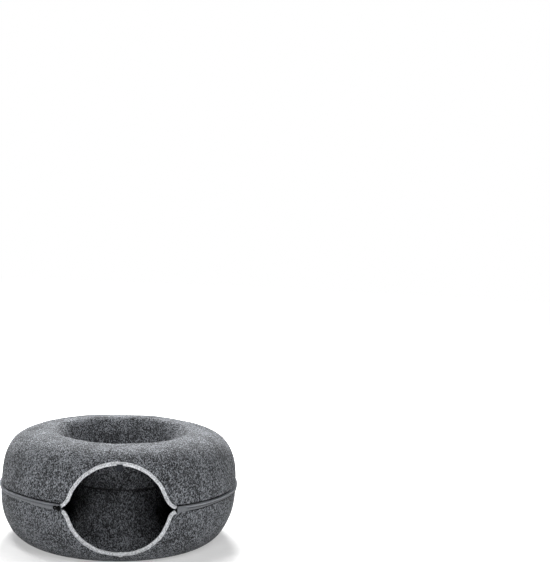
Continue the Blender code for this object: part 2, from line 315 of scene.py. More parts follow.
def mouth_edge(half, count):
    """(x, z) along the mouth's bound edge from its left corner to its right one."""
    angle = np.linspace(0.0, pi, MOUTH_SAMPLES)
    share = np.sin(angle)
    corner = np.exp(-abs(half["rise"]) * share / MOUTH_FLARE_FALL)
    left = angle < pi / 2
    side = np.where(left, -1.0, 1.0)
    reach = half["half_width"] * np.abs(np.cos(angle)) + half["flare"] * corner
    shift = half["arch_shift"] + half["lean"] * share
    shift = shift + (half["corner_shift"] - half["arch_shift"]) * corner
    droop = np.where(left, half["droop_left"], half["droop_right"])
    z = half["corner_z"] + half["rise"] * share - droop * corner
    return spaced(np.stack([shift + side * reach, z], axis=1), count)


def azimuth_at(x, z):
    """Azimuth of the front wall's point with that x and z."""
    return np.arcsin(np.clip(x / wall_radius(z), -1.0, 1.0))


def edge_frames(half, count):
    """Points on the wall along the mouth's edge, and the way across it over the felt."""
    edge = mouth_edge(half, count)
    azimuth = azimuth_at(edge[:, 0], edge[:, 1])
    place = at(azimuth, wall_radius(edge[:, 1]), edge[:, 1])
    along = np.gradient(place, axis=0)
    along /= np.linalg.norm(along, axis=1, keepdims=True)
    out = wall_out(edge[:, 1])
    normal = np.stack(
        [out[:, 0] * np.sin(azimuth), -out[:, 0] * np.cos(azimuth), out[:, 1]], axis=1
    )
    across = np.cross(normal, along)
    across /= np.linalg.norm(across, axis=1, keepdims=True)
    if across[count // 2, 2] * half["rise"] < 0:
        across = -across
    return place, across


def over_felt(place, across, distance, height):
    """Points at a distance from the mouth's edge, and a height over the felt's face."""
    point = place + across * distance[..., None]
    x = point[..., 0]
    y = point[..., 1] - AXIS_Y
    azimuth = np.arctan2(x, -y)
    return on_wall(azimuth, point[..., 2], height)


# ---- materials


class Nodes:
    """A short way to write a node material: each call adds a node and returns its output."""

    def __init__(self, name):
        self.material = bpy.data.materials.new(name)
        self.material.use_nodes = True
        self.tree = self.material.node_tree
        self.shader = self.tree.nodes["Principled BSDF"]

    def add(self, kind, inputs=(), **settings):
        node = self.tree.nodes.new(kind)
        for key, value in settings.items():
            setattr(node, key, value)
        for key, value in dict(inputs).items():
            self.put(node.inputs[key], value)
        return node

    def put(self, socket, value):
        if isinstance(value, bpy.types.NodeSocket):
            self.tree.links.new(value, socket)
        else:
            socket.default_value = value

    def place(self, scale=(1.0, 1.0, 1.0)):
        coordinates = self.add("ShaderNodeTexCoord").outputs["Object"]
        mapping = self.add("ShaderNodeMapping", {"Vector": coordinates, "Scale": scale})
        return mapping.outputs["Vector"]

    def noise(self, where, scale, detail=2.0, roughness=0.5, distortion=0.0):
        settings = {"Vector": where, "Scale": scale, "Detail": detail}
        settings |= {"Roughness": roughness, "Distortion": distortion}
        return self.add("ShaderNodeTexNoise", settings).outputs["Fac"]

    def ramp(self, value, stops):
        node = self.add("ShaderNodeValToRGB", {"Fac": value})
        elements = node.color_ramp.elements
        while len(elements) < len(stops):
            elements.new(0.5)
        for element, (position, colour) in zip(elements, stops):
            if not isinstance(colour, tuple):
                colour = (colour,) * 3
            element.position = position
            element.color = (*colour, 1.0)
        return node.outputs["Color"]

    def lines_in(self, noise, middle, width):
        """Thin lines, like hairs, where a noise passes through a middle value."""
        away = self.math("ABSOLUTE", self.math("SUBTRACT", noise, middle))
        return self.ramp(away, ((0.0, 1.0), (width, 0.0)))

    def math(self, operation, first, second=0.0, third=0.0, clamp=False):
        node = self.add("ShaderNodeMath", operation=operation, use_clamp=clamp)
        for socket, value in zip(node.inputs, (first, second, third)):
            self.put(socket, value)
        return node.outputs[0]

    def vector(self, operation, first, second=(0.0, 0.0, 0.0)):
        node = self.add("ShaderNodeVectorMath", {0: first, 1: second}, operation=operation)
        return node.outputs["Value" if operation == "LENGTH" else "Vector"]

    def mix(self, share, first, second):
        node = self.add("ShaderNodeMix", data_type="RGBA")
        self.put(node.inputs["Factor"], share)
        for name, value in (("A", first), ("B", second)):
            socket = [s for s in node.inputs if s.name == name and s.type == "RGBA"][0]
            self.put(socket, (*value, 1.0) if isinstance(value, tuple) else value)
        return [s for s in node.outputs if s.type == "RGBA"][0]

    def bump(self, height, strength, distance, before=None):
        inputs = {"Height": height, "Strength": strength, "Distance": distance}
        if before is not None:
            inputs["Normal"] = before
        return self.add("ShaderNodeBump", inputs).outputs["Normal"]

    def finish(self, colour, normal, roughness, **constants):
        self.put(self.shader.inputs["Base Color"], colour)
        self.put(self.shader.inputs["Normal"], normal)
        self.put(self.shader.inputs["Roughness"], roughness)
        for key, value in constants.items():
            self.shader.inputs[key.replace("_", " ")].default_value = value
        return self.material


# How far the felt's summed noise strays, from its darkest to its lightest, and how much of
# its colour the pale and dark hairs take over.
MARL_SPREAD = 0.122
PALE_HAIR_SHARE = 0.35
DARK_HAIR_SHARE = 0.45


def felt_material(name, dark, middle, light, contrast=1.0):
    """Marled pressed felt: pale and dark fibres in clumps, with a fuzzy surface."""
    nodes = Nodes(name)
    upright = nodes.place((1.0, 1.0, 0.55))
    plain = nodes.place()
    tufts = nodes.noise(plain, scale=170.0, roughness=0.6, distortion=0.5)
    clumps = nodes.noise(upright, scale=500.0, roughness=0.55, distortion=0.35)
    fine = nodes.noise(upright, scale=1100.0, roughness=0.6, distortion=0.6)
    clouds = nodes.noise(plain, scale=26.0, detail=3.0, roughness=0.55, distortion=0.3)
    marl = 0.0
    for layer, weight in ((tufts, 0.32), (clumps, 1.0), (fine, 0.45), (clouds, 0.2)):
        marl = nodes.math("MULTIPLY_ADD", nodes.math("SUBTRACT", layer, 0.5), weight, marl)
    spread = MARL_SPREAD / contrast
    share = nodes.math("ADD", marl, spread)
    share = nodes.math("DIVIDE", share, 2 * spread, clamp=True)
    colour = nodes.ramp(share, ((0.0, dark), (0.5, middle), (1.0, light)))
    hair = nodes.noise(upright, scale=420.0, detail=1.0, distortion=1.8)
    other_hair = nodes.noise(upright, scale=360.0, detail=1.0, distortion=2.2)
    pale_hair = nodes.lines_in(hair, middle=0.5, width=0.035)
    dark_hair = nodes.lines_in(other_hair, middle=0.47, width=0.030)
    colour = nodes.mix(nodes.math("MULTIPLY", pale_hair, PALE_HAIR_SHARE), colour, light)
    colour = nodes.mix(nodes.math("MULTIPLY", dark_hair, DARK_HAIR_SHARE), colour, dark)
    lumps = nodes.noise(plain, scale=210.0, detail=3.0, roughness=0.6)
    normal = nodes.bump(lumps, strength=0.6, distance=0.0015)
    normal = nodes.bump(fine, strength=0.5, distance=0.0007, before=normal)
    normal = nodes.bump(hair, strength=0.35, distance=0.0005, before=normal)
    roughness = nodes.math("MULTIPLY_ADD", clumps, 0.15, 0.84, clamp=True)
    return nodes.finish(
        colour, normal, roughness,
        Sheen_Weight=0.04, Sheen_Roughness=0.5, Specular_IOR_Level=0.1,
    )


# The zip tapes' flanges are painted near black within this radius of the axis. This is painted
# shade in the recesses behind the felt's rim, so that no pale strip shows between the lips.
FLANGE_PAINTED_SHADE = (0.008, 0.008, 0.009)
PAINTED_SHADE_WITHIN = 0.2440


def tape_material(name, colour, bright, paint_flange_shade=False):
    """Woven tape: a fine rib with slight wear, and on request painted shade, near black, on the
    flange behind the felt.
    """
    nodes = Nodes(name)
    plain = nodes.place()
    rib = nodes.add(
        "ShaderNodeTexWave",
        {"Vector": plain, "Scale": 260.0, "Distortion": 1.2, "Detail": 2.0},
        wave_type="BANDS",
        bands_direction="Z",
    ).outputs["Fac"]
    speck = nodes.noise(plain, scale=700.0, detail=3.0, roughness=0.6)
    share = nodes.math("MULTIPLY_ADD", rib, 0.3, nodes.math("MULTIPLY", speck, 0.9))
    shaded = nodes.ramp(share, ((0.25, colour), (0.85, bright)))
    # Painted shade: the flange's faces inside the given radius are mixed to near black, standing
    # in for the shade deep in the recess.
    if paint_flange_shade:
        from_axis = nodes.vector("SUBTRACT", plain, (0.0, AXIS_Y, 0.0))
        level = nodes.vector("MULTIPLY", from_axis, (1.0, 1.0, 0.0))
        in_painted_shade = nodes.math("LESS_THAN", nodes.vector("LENGTH", level), PAINTED_SHADE_WITHIN)
        shaded = nodes.mix(in_painted_shade, shaded, FLANGE_PAINTED_SHADE)
    normal = nodes.bump(rib, strength=0.3, distance=0.0002)
    normal = nodes.bump(speck, strength=0.4, distance=0.0003, before=normal)
    roughness = nodes.math("MULTIPLY_ADD", speck, 0.2, 0.6, clamp=True)
    return nodes.finish(shaded, normal, roughness, Sheen_Weight=0.1, Specular_IOR_Level=0.3)


def metal_material(name):
    """Black lacquered metal with worn, slightly paler patches."""
    nodes = Nodes(name)
    wear = nodes.noise(nodes.place(), scale=900.0, detail=4.0, roughness=0.65)
    colour = nodes.ramp(wear, ((0.35, 0.0004), (0.8, 0.0012)))
    normal = nodes.bump(wear, strength=0.15, distance=0.0001)
    roughness = nodes.math("MULTIPLY_ADD", wear, 0.25, 0.38, clamp=True)
    return nodes.finish(colour, normal, roughness, Specular_IOR_Level=0.06)


# The greys' tints: the felt's is bluish, and the binding's fainter.
FELT_TINT = (0.952, 1.0, 1.085)
BINDING_TINT = (0.98, 1.0, 1.04)


def grey(value, tint=FELT_TINT):
    return tuple(value * part for part in tint)


# ---- felt halves

# The felt's columns: those across the mouth's front, and those round the rest.
FRONT_HALF = radians(31)
FRONT_COLUMNS = 170
OTHER_COLUMNS = 270
FELT_ROUND = FRONT_COLUMNS + OTHER_COLUMNS
# The felt this near its widest radius is the outer wall. Its rows follow the zip, and less
# so up to RIM_FADE away.
OUTER_WALL_DEPTH = 0.02
RIM_FADE = 0.022
# Only where the azimuth's cosine is greater can the wall be cut away for the mouth.
FRONT_COSINE = 0.5
CUT_POINTS = 240

# The zip's sag on either side. What varies round the ring fades out over SIDE_FADE radians.
SAG_RIGHT = 0.0022
SAG_LEFT = 0.0035
SIDE_FADE = 0.5


def zip_drop(azimuth):
    """How far the zip hangs below its even height: it sags a little at both its sides."""
    turned = wrapped(azimuth)
    right = between(turned, 0.0, radians(20), radians(110), radians(50))
    left = between(turned, radians(-120), SIDE_FADE, radians(-46), radians(28))
    return SAG_RIGHT * right + SAG_LEFT * left


def upper_rim_z(azimuth):
    return UPPER_RIM_Z - zip_drop(azimuth)


def inside_outline(x, z, outline):
    """Which points lie inside a closed outline of (x, z)."""
    inside = np.zeros(x.shape, bool)
    for (x1, z1), (x2, z2) in zip(outline, np.roll(outline, -1, axis=0)):
        crosses = (z1 > z) != (z2 > z)
        if z1 != z2:
            at_x = x1 + (z - z1) * (x2 - x1) / (z2 - z1)
            inside ^= crosses & (x < at_x)
    return inside


def nearest_on(points, line):
    """For each (x, z), the nearest point on an open polyline."""
    start, step = line[:-1], np.diff(line, axis=0)
    offset = points[:, None, :] - start[None]
    share = (offset * step).sum(-1) / np.maximum((step * step).sum(-1), 1e-18)
    share = np.clip(share, 0.0, 1.0)
    found = start[None] + share[..., None] * step[None]
    best = np.linalg.norm(points[:, None, :] - found, axis=-1).argmin(axis=1)
    return found[np.arange(len(points)), best]


def section_outward(section):
    """The way out of the tube at each point of a section, as (radius, z)."""
    along = np.gradient(section, axis=0)
    out = np.stack([along[:, 1], -along[:, 0]], axis=1)
    out /= np.linalg.norm(out, axis=1, keepdims=True)
    middle = np.array([TUBE_RADIUS, WAIST_Z])
    return out if (out * (section - middle)).sum() > 0 else -out


def felt_grid(section, rim_z):
    """The ring's points, azimuth by section, with its zip rim brought to rim_z."""
    front = np.linspace(-FRONT_HALF, FRONT_HALF, FRONT_COLUMNS, endpoint=False)
    other = np.linspace(FRONT_HALF, 2 * pi - FRONT_HALF, OTHER_COLUMNS, endpoint=False)
    azimuth = np.concatenate([front, other])[:, None]
    radius = np.broadcast_to(section[:, 0], (FELT_ROUND, len(section)))
    z = np.broadcast_to(section[:, 1], radius.shape)
    outer = radius > BODY_RADIUS - OUTER_WALL_DEPTH
    even_z = section[0, 1]
    fade = np.clip(1 - np.abs(z - even_z) / RIM_FADE, 0.0, 1.0) * outer
    z = z + fade * (rim_z(azimuth) - even_z)
    radius = np.where(fade > 0, wall_radius(z), radius)
    out = section_outward(section)
    lift = unevenness(azimuth, z)
    points = at(azimuth, radius + out[:, 0] * lift, z + out[:, 1] * lift)
    return azimuth, radius, z, points


def felt_half(section, half, rim_z):
    """A moulded felt half's outer face, with its half of the mouth cut out of the front."""
    azimuth, radius, z, points = felt_grid(section, rim_z)
    place, across = edge_frames(half, CUT_POINTS)
    moved = over_felt(place, across, np.full(CUT_POINTS, FELT_CUT_BACK), np.zeros(CUT_POINTS))
    cut = moved[:, [0, 2]]
    ends = np.array([[cut[-1, 0], MOUTH_MIDDLE_Z], [cut[0, 0], MOUTH_MIDDLE_Z]])
    front = (radius > CREST_RADIUS) & (np.cos(azimuth) > FRONT_COSINE)
    cut_away = front & inside_outline(points[..., 0], z, np.concatenate([cut, ends]))

    faces = quads(FELT_ROUND, len(section), wrap_rows=True)
    gone = cut_away.ravel()[faces].any(axis=1)
    edge_points = np.unique(faces[gone])
    edge_points = edge_points[~cut_away.ravel()[edge_points]]
    flat = points.reshape(-1, 3)
    line = np.concatenate([ends[1:], cut, ends[:1]])
    nearest = nearest_on(flat[edge_points][:, [0, 2]], line)
    angle = azimuth_at(nearest[:, 0], nearest[:, 1])
    flat[edge_points] = on_wall(angle, nearest[:, 1])
    faces = facing_out(flat, faces[~gone])
    used, index = np.unique(faces, return_inverse=True)
    return flat[used], index.reshape(faces.shape)


def thicken(piece, thickness):
    """Gives a face its thickness, inwards."""
    solid = piece.modifiers.new("thickness", "SOLIDIFY")
    solid.thickness = thickness
    solid.offset = -1.0
    solid.use_even_offset = True
    solid.use_rim = True


def make_felt(felt):
    upper = felt_half(upper_section(), MOUTH_UPPER, upper_rim_z)
    upper = new_piece("upper_felt", upper, felt, ["upper_shell"])
    lower = felt_half(lower_section(), MOUTH_LOWER, lower_rim_z)
    lower = new_piece("lower_felt", lower, felt, ["lower_shell"])
    for half in (upper, lower):
        thicken(half, FELT_PLY)


# ---- the zip band

ZIP_ENDS = (radians(-26.6), radians(27.6))
ZIP_STEPS = 420

# The lips: where each ends and where they meet, how far those heights shift, how far the
# lips stand out, and the small pinches that the thread leaves in them.
LIP_TOP_Z = 0.1220
LIP_SPLIT_Z = 0.1184
LIP_BOTTOM_Z = 0.1144
SPLIT_TILT = 0.0015
LIP_WIDER = 0.0034
CORNER_NARROWER = 0.0022
LIP_INNER_RADIUS = 0.2463
LIP_STAND = 0.0028
UPPER_LIP_STAND = 0.0040
LIP_POINTS = 9
LIP_SQUARENESS = 0.8
PINCH_DEPTH = 0.0003
PINCH_RATE = 90

# The gap between the lips: its size, of which one share is even and the other grows to the
# right, and what the mouth's left corner adds to it.
LIP_GAP = 0.0009
LIP_GAP_EVEN = 0.55
LIP_GAP_SIDE = 0.45
CORNER_GAP = 0.0020
CORNER_GAP_FADE = radians(2)

# The flanges behind the felt, and where the lower felt's rim hides.
FLANGE_RADII = (0.2408, 0.2416)
FLANGE_TOP_Z = 0.1330
FLANGE_BOTTOM_Z = 0.1030
FLANGE_TUCK = 0.0004
RIM_BEHIND_LIP = 0.0008
RIM_UNDER_SHADOW_CORD = 0.0023

TOOTH_COUNT = 640
TOOTH_HALF_WIDTH = 0.00075
TOOTH_HALF_HEIGHT = 0.0008
TOOTH_STAGGER = 0.0003
TOOTH_RADII = (0.2422, 0.2462)

# A black cord under the band's right side: painted shadow, standing in for the shade under the
# lower lip's edge.
SHADOW_CORD_AZIMUTHS = (radians(33.5), radians(150))
SHADOW_CORD_RADIUS = 0.2482
SHADOW_CORD_THICKNESS = 0.0014
SHADOW_CORD_STEPS = 150
SHADOW_CORD_SIDES = 8


def split_z(azimuth):
    """Where the lips meet: higher on the left of the mouth, and lower on its right."""
    turned = wrapped(azimuth)
    side = np.clip(turned / radians(40), -1.0, 1.0)
    near = within(turned, radians(120), radians(60))
    return LIP_SPLIT_Z - SPLIT_TILT * side * near - zip_drop(azimuth)


def lip_bottom_z(azimuth):
    """The lower lip widens towards the mouth, though less so at its left corner."""
    turned = wrapped(azimuth)
    wide = within(turned, radians(56), radians(24))
    corner = within(turned + radians(0.6), radians(31), radians(4)) * (turned < 0)
    return LIP_BOTTOM_Z - LIP_WIDER * wide + CORNER_NARROWER * corner - zip_drop(azimuth)


def lower_rim_z(azimuth):
    """The lower felt ends behind the lower lip, and on the right behind the black cord of painted
    shadow.
    """
    right = between(wrapped(azimuth), radians(31), radians(3), radians(150), SIDE_FADE)
    return lip_bottom_z(azimuth) + RIM_BEHIND_LIP - RIM_UNDER_SHADOW_CORD * right


def lip_ring(low, high, flange_z, stand, azimuth):
    """A tape whose flange lies behind the felt and whose lip is rolled out in front."""
    middle, half = (low + high) / 2, (high - low) / 2
    section = []
    for angle in np.linspace(-pi / 2, pi / 2, LIP_POINTS):
        radius = LIP_INNER_RADIUS + stand * cos(angle) ** LIP_SQUARENESS
        section.append((radius, middle + half * sin(angle)))
    far = np.full_like(low, flange_z)
    back, near = FLANGE_RADII
    if flange_z > middle.max():
        section += [(near, high + FLANGE_TUCK), (near, far), (back, far), (back, low)]
    else:
        section += [(back, high), (back, far), (near, far), (near, low - FLANGE_TUCK)]
    columns = [at(azimuth, radius + unevenness(azimuth, z), z) for radius, z in section]
    return swept(np.stack(columns, axis=1))


def zip_teeth():
    """The coil behind the lips: small blocks, by turns a little higher and lower."""
    teeth = []
    half = TOOTH_HALF_WIDTH / BODY_RADIUS
    faces = [[0, 3, 2, 1], [4, 5, 6, 7]]
    faces += [[i, (i + 1) % 4, 4 + (i + 1) % 4, 4 + i] for i in range(4)]
    for row, turned in enumerate(np.linspace(ZIP_ENDS[0], ZIP_ENDS[1] - 2 * pi, TOOTH_COUNT)):
        z = float(split_z(turned)) + (TOOTH_STAGGER if row % 2 else -TOOTH_STAGGER)
        corner = [
            at(turned + side * half, radius, z + up * TOOTH_HALF_HEIGHT)
            for radius in TOOTH_RADII
            for side, up in ((-1, -1), (1, -1), (1, 1), (-1, 1))
        ]
        teeth.append((np.array(corner), faces))
    return joined(teeth)


def band_shadow_cord():
    """A fine black cord under the band, on the right from the patch round to the back: painted
    shadow under the lower lip's edge.
    """
    azimuth = np.linspace(*SHADOW_CORD_AZIMUTHS, SHADOW_CORD_STEPS)
    middle = lip_bottom_z(azimuth) - SHADOW_CORD_THICKNESS / 2
    columns = []
    for turn in np.linspace(0.0, 2 * pi, SHADOW_CORD_SIDES, endpoint=False):
        z = middle + SHADOW_CORD_THICKNESS / 2 * sin(turn)
        radius = SHADOW_CORD_RADIUS + SHADOW_CORD_THICKNESS / 2 * cos(turn) + unevenness(azimuth, z)
        columns.append(at(azimuth, radius, z))
    return swept(np.stack(columns, axis=1))


def make_zip(tape, lip, black):
    """Two tapes whose lips close over the coil, right round but for the mouth, and a black cord of
    painted shadow under the band.
    """
    azimuth = np.linspace(ZIP_ENDS[0], ZIP_ENDS[1] - 2 * pi, ZIP_STEPS)
    top, split, bottom = LIP_TOP_Z - zip_drop(azimuth), split_z(azimuth), lip_bottom_z(azimuth)
    pinch = PINCH_DEPTH * np.sin(azimuth * PINCH_RATE)
    apart = LIP_GAP * (LIP_GAP_EVEN + LIP_GAP_SIDE * np.sin(azimuth))
    apart = apart + CORNER_GAP * smooth((azimuth - ZIP_ENDS[0]) / CORNER_GAP_FADE + 1)
    # The upper lip takes the lighter tape material, a painted highlight on its top edge.
    upper = lip_ring(split + apart, top, FLANGE_TOP_Z, UPPER_LIP_STAND + pinch, azimuth)
    upper = new_piece("zip_upper_tape", upper, lip, ["zip_tape_upper"])
    lower = lip_ring(bottom, split, FLANGE_BOTTOM_Z, LIP_STAND - pinch, azimuth)
    lower = new_piece("zip_lower_tape", lower, tape, ["zip_tape_lower"])
    new_piece("zip_coil", zip_teeth(), black, ["zip_chain"])
    # Painted shadow: a black cord under the band's lower edge on the right.
    new_piece("band_shadow_cord", band_shadow_cord(), black)


# ---- slider, pull and patch

SLIDER_AZIMUTH = radians(-27.35)
SLIDER_Z = 0.1154
SLIDER_LENGTH = 0.0070
SLIDER_HEIGHT = 0.0112
SLIDER_RADIUS = 0.2496
SLIDER_NOSE = 0.25
SLIDER_DROOP = radians(12)
PLATE_THICKNESS = 0.0013
PLATE_EASE = 0.0005
# The bridge that holds the pull: its line as (along, out), and its half thickness and widths.
BRIDGE = (
    (-0.0027, 0.0008), (-0.0025, 0.0020), (-0.0014, 0.0030), (0.0, 0.0033),
    (0.0014, 0.0030), (0.0025, 0.0020), (0.0027, 0.0008),
)
BRIDGE_HALF = 0.0004
BRIDGE_INNER_WIDTH = 0.0014
BRIDGE_OUTER_WIDTH = 0.0012
# The slider's two rails: share of its length, inset and taper from its edge, place and size.
RAIL_REACH = 0.44
RAIL_INSET = 0.0010
RAIL_TAPER = 0.0009
RAIL_OUT = 0.0011
RAIL_RADII = (0.0006, 0.0005)

PULL_AZIMUTH = radians(-28.75)
PULL_Z = 0.1163
PULL_LENGTH = 0.0118
PULL_HEIGHT = 0.0092
PULL_THICKNESS = 0.0013
PULL_RADIUS = 0.2520
PULL_NOSE = 0.42
PULL_DROOP = radians(14)
WINDOW_ALONG = -0.0012
WINDOW_RADII = (0.0017, 0.0012)
# Half the loop's cross-section: share of the way from window to rim, and side.
PULL_BACK = ((0.0, -0.5), (0.12, -0.85), (0.3, -1.0), (0.7, -1.0), (0.88, -0.85), (1.0, -0.5))

PATCH_AZIMUTHS = (radians(26.9), radians(31.6))
PATCH_Z = (0.1098, 0.1206)
PATCH_RADIUS = 0.2494
PATCH_THICKNESS = 0.0011
PATCH_SWELL = 0.0003
PATCH_EASE = 0.0006
PATCH_THINNER = 0.0004
THINNER_FROM = 0.0136
THINNER_OVER = 0.0040
# The fold at its end by the mouth: where it stands, half its width and its height.
FOLD_RUN = 0.0006
FOLD_WIDTH = 0.0009
FOLD_HEIGHT = 0.0007


def placed(local, azimuth, radius, z, droop):
    """Points given as (along, out, up) set against the wall at a place on the ring."""
    along, out, up = np.moveaxis(np.asarray(local, float), -1, 0)
    along, up = along * cos(droop) + up * sin(droop), up * cos(droop) - along * sin(droop)
    x = (radius + out) * sin(azimuth) + along * cos(azimuth)
    y = AXIS_Y - (radius + out) * cos(azimuth) + along * sin(azimuth)
    return np.stack([x, y, z + up], axis=-1)


def rounded(length, height, power=3.2, count=28, nose=0.0):
    """A closed rounded outline of (along, up), narrower by nose towards +along."""
    angle = np.linspace(0.0, 2 * pi, count, endpoint=False)
    turn = np.stack([np.cos(angle), np.sin(angle)])
    along, up = np.sign(turn) * np.abs(turn) ** (2 / power) * [[length], [height]] / 2
    return np.stack([along, up * (1 - nose * (along / length + 0.5))], axis=1)


def cushioned(outline, thickness, ease):
    """(along, out, up) sections of a plate with eased front edges, back to front."""
    sections = []
    turn = ease * 0.3
    for out, inset in ((0, 0), (thickness - ease, 0), (thickness - turn, turn), (thickness, ease)):
        flat = outline * (1 - inset / np.abs(outline).max())
        sections.append(np.stack([flat[:, 0], np.full(len(flat), out), flat[:, 1]], axis=1))
    return np.array(sections)


def slider_solid():
    """The slider's front plate, its two side rails and the bridge that holds the pull."""
    outline = rounded(SLIDER_LENGTH, SLIDER_HEIGHT, nose=SLIDER_NOSE)
    bridge = []
    for along, out in BRIDGE:
        lean = along / BRIDGE[-1][0] * BRIDGE_HALF
        foot = (along - lean, out - BRIDGE_HALF)
        top = (along + lean, out + BRIDGE_HALF)
        bridge.append([
            (*foot, -BRIDGE_INNER_WIDTH), (*foot, BRIDGE_INNER_WIDTH),
            (*top, BRIDGE_OUTER_WIDTH), (*top, -BRIDGE_OUTER_WIDTH),
        ])
    solids = [swept(cushioned(outline, PLATE_THICKNESS, PLATE_EASE)), swept(np.array(bridge))]
    for side in (-1, 1):
        rail = []
        for along in np.linspace(-RAIL_REACH, RAIL_REACH, 7) * SLIDER_LENGTH:
            taper = RAIL_TAPER * (along / SLIDER_LENGTH + 0.5)
            up = side * (SLIDER_HEIGHT / 2 - RAIL_INSET - taper)
            rail.append([
                (along, RAIL_OUT + RAIL_RADII[0] * sin(turn), up + RAIL_RADII[1] * cos(turn))
                for turn in np.linspace(0, 2 * pi, 8, endpoint=False)
            ])
        solids.append(swept(np.array(rail)))
    points, faces = joined(solids)
    return placed(points, SLIDER_AZIMUTH, SLIDER_RADIUS, SLIDER_Z, SLIDER_DROOP), faces


def pull_solid(count=40):
    """A flat tapered loop, thick at its nose, with a small window near its free end."""
    angle = np.linspace(0.0, 2 * pi, count, endpoint=False)
    outer = rounded(PULL_LENGTH, PULL_HEIGHT, power=2.6, count=count, nose=PULL_NOSE)
    window_along = WINDOW_ALONG + WINDOW_RADII[0] * np.cos(angle)
    window = np.stack([window_along, WINDOW_RADII[1] * np.sin(angle)], axis=1)
    rim = PULL_BACK + tuple((share, -side) for share, side in PULL_BACK[::-1])
    sections = []
    for near, far in zip(window, outer):
        spots = [(*(near + (far - near) * share), side) for share, side in rim]
        sections.append([(along, side * PULL_THICKNESS / 2, up) for along, up, side in spots])
    points, faces = swept(np.array(sections), closed=True)
    return placed(points, PULL_AZIMUTH, PULL_RADIUS, PULL_Z, PULL_DROOP), faces


def patch_solid():
    """A squared fabric tab bent round the wall, folded over at its end by the mouth."""
    low, high = PATCH_Z
    eased_low, eased_high = low + PATCH_EASE, high - PATCH_EASE
    sections = []
    for azimuth in np.linspace(*PATCH_AZIMUTHS, 14):
        run = (azimuth - PATCH_AZIMUTHS[0]) * BODY_RADIUS
        fold = FOLD_HEIGHT * np.exp(-((run - FOLD_RUN) / FOLD_WIDTH) ** 2)
        thinner = PATCH_THINNER * smooth((run - THINNER_FROM) / THINNER_OVER)
        stand = PATCH_RADIUS + PATCH_THICKNESS + fold - thinner
        loop = [
            (PATCH_RADIUS, eased_low), (stand - PATCH_EASE, low), (stand, eased_low),
            (stand + PATCH_SWELL, (low + high) / 2),
            (stand, eased_high), (stand - PATCH_EASE, high), (PATCH_RADIUS, eased_high),
        ]
        sections.append([at(azimuth, radius, z) for radius, z in loop])
    return swept(np.array(sections))


def make_slider(black, tape):
    new_piece("slider_body", slider_solid(), black, ["zip_slider"], sharp=35)
    new_piece("pull_loop", pull_solid(), black, ["zip_pull"], sharp=35)
    patch = patch_solid()
    patch = new_piece("end_patch", patch, tape, ["zip_end_patch"], sharp=45)


# ---- the mouth's binding

BINDING_WIDTH = 0.0066
BINDING_PLY = 0.0010
BINDING_COUNT = 300
RAW_EDGE = 0.0003
EDGE_EASE = 0.0004
EDGE_UNDERCUT = 0.0001

# The row of stitches: each thread's place and size, and the groove that it lies in, between
# two low puffs.
STITCH_DISTANCE = 0.0038
STITCH_PITCH = 0.0034
STITCH_LENGTH = 0.0024
STITCH_SAMPLES = 24
THREAD_ENDS = 0.00014
THREAD_FULLER = 0.00012
THREAD_SUNK = 0.0006
THREAD_ARCH = 0.0004
GROOVE_DEPTH = 0.0004
GROOVE_HALF = 0.0002
PUFF_HALF = 0.0007
OUTER_PUFF = 0.0001
INNER_PUFF = 0.0002

# The strip's edge wanders a little, as (depth, turns, phase) along it, and the stitches
# pucker its outer face.
WANDERS = ((0.00022, 9, 0.0), (0.00016, 23, 1.0))
PUCKER_DEPTH = 0.00014
PUCKERS = 71
PUCKER_DISTANCE = 0.0056
PUCKER_HALF = 0.001

# Where the strip's two ends meet: they bulge and lift over a short reach, and the strip is
# narrower over a long one.
JOIN_X = 0.0058
JOIN_REACH = 0.0040
JOIN_BULGE = 0.0024
JOIN_LIFT = 0.0014
NARROW_REACH = 0.034
JOIN_NARROWER = 0.0019


def binding_section():
    """(distance from the mouth's edge, height over the felt) round the folded strip."""
    over, under = GAP + BINDING_PLY, -FELT_PLY - GAP - BINDING_PLY
    inner_over, inner_under = GAP, -FELT_PLY - GAP
    bend, middle = (over - under) / 2, (over + under) / 2
    edge, sewn = BINDING_WIDTH, STITCH_DISTANCE
    groove = over - GROOVE_DEPTH
    loop = [
        (edge - EDGE_UNDERCUT, inner_over + RAW_EDGE),
        (edge, over - RAW_EDGE), (edge - EDGE_EASE, over),
        (sewn + PUFF_HALF, over + OUTER_PUFF), (sewn + GROOVE_HALF, groove),
        (sewn - GROOVE_HALF, groove), (sewn - PUFF_HALF, over + INNER_PUFF),
    ]
    for angle in np.linspace(pi / 2, -pi / 2, 15):
        loop.append((bend - bend * cos(angle), middle + bend * sin(angle)))
    loop += [
        (sewn, under), (edge - RAW_EDGE, under), (edge, inner_under),
        (FELT_CUT_BACK - GAP, inner_under), (FELT_CUT_BACK - GAP, inner_over),
    ]
    return np.array(loop)


def join_shift(x):
    """How far the strip strays at its join: across the felt, off it and over its edge."""
    from_join = x - JOIN_X
    bump = np.exp(-((from_join / JOIN_REACH) ** 2))
    slim = np.exp(-((from_join / NARROW_REACH) ** 2))
    return JOIN_BULGE * bump - JOIN_NARROWER * slim, JOIN_LIFT * bump, JOIN_BULGE * bump


